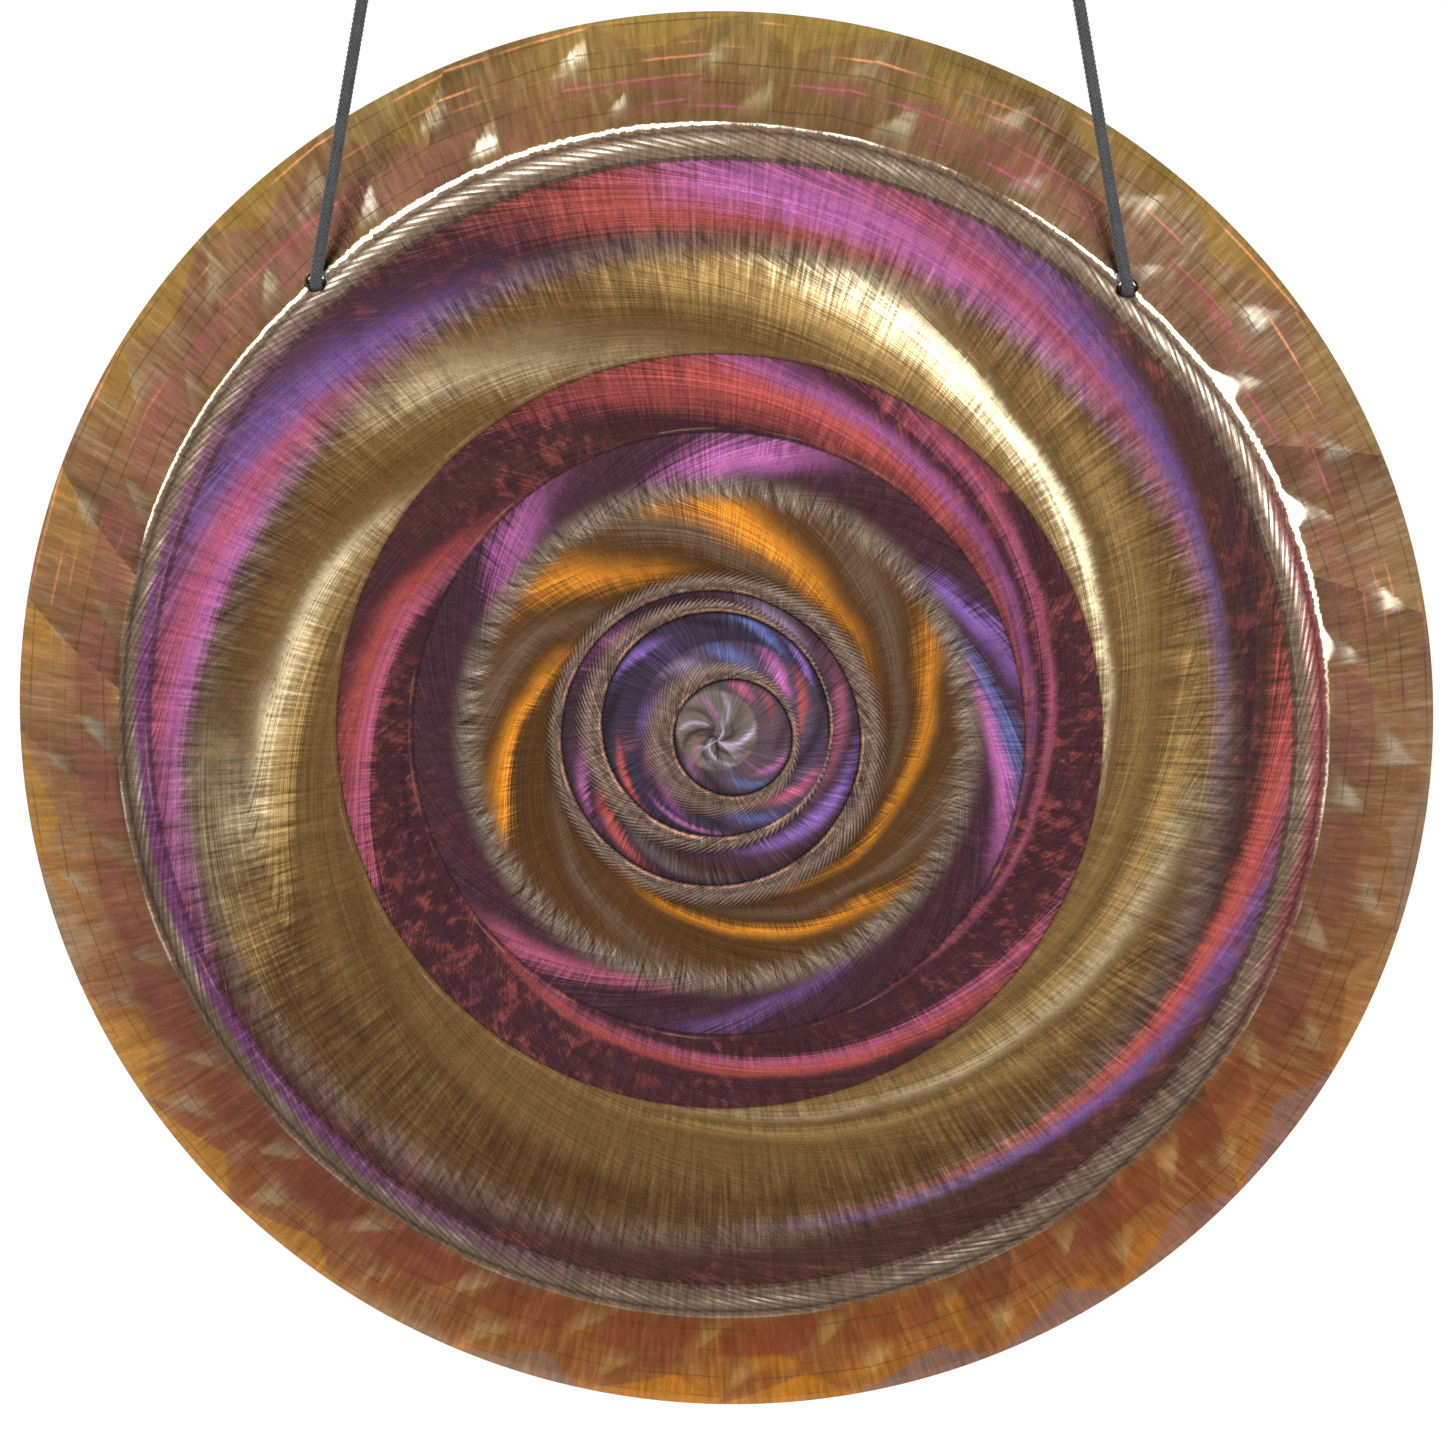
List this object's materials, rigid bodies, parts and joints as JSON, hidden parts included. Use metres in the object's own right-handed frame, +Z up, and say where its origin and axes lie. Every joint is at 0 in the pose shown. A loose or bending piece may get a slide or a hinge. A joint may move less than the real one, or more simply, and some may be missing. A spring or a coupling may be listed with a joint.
{
  "type": "tam tam gong",
  "caption": "Flat-faced bronze tam tam gong with turned rings and a hammered, turned-back rim, hung by braided cords from screw hooks.",
  "frame": {"origin": "midway between the two screw hooks, in the plane where their collars seat under the beam that carries them", "axes": "+Z up; the struck face looks along -Y, so +Y is the gong's axis from face to open back; +X is to the right of someone facing the struck face"},
  "size_m": [0.61, 0.052, 0.7238],
  "materials": {
    "hammered_bronze": "hammered and lathe-scratched bronze with gold, maroon, purple and brown heat tints",
    "braided_cord": "dark grey braided polyester accessory cord, 5 mm",
    "zinc_steel": "zinc-plated steel, slightly dulled"
  },
  "bodies": {
    "hooks": {"screw_hook_left": "zinc_steel", "screw_hook_right": "zinc_steel"},
    "suspension": {"cord_left": "braided_cord", "cord_right": "braided_cord", "loop_knot_left": "braided_cord", "loop_knot_right": "braided_cord", "hanging_loop_left": "braided_cord", "hanging_loop_right": "braided_cord"},
    "gong": {"gong_disc": "hammered_bronze", "stopper_knot_left": "braided_cord", "stopper_knot_right": "braided_cord"}
  },
  "joints": [
    {"name": "swing", "type": "hinge", "parent": "hooks", "child": "suspension", "pos_m": [0, 0, -0.02787], "axis": [1, 0, 0], "range_deg": [-30, 30]},
    {"name": "rock", "type": "hinge", "parent": "suspension", "child": "gong", "pos_m": [0, 0.0006, -0.19987], "axis": [1, 0, 0], "range_deg": [-30, 15]}
  ]
}
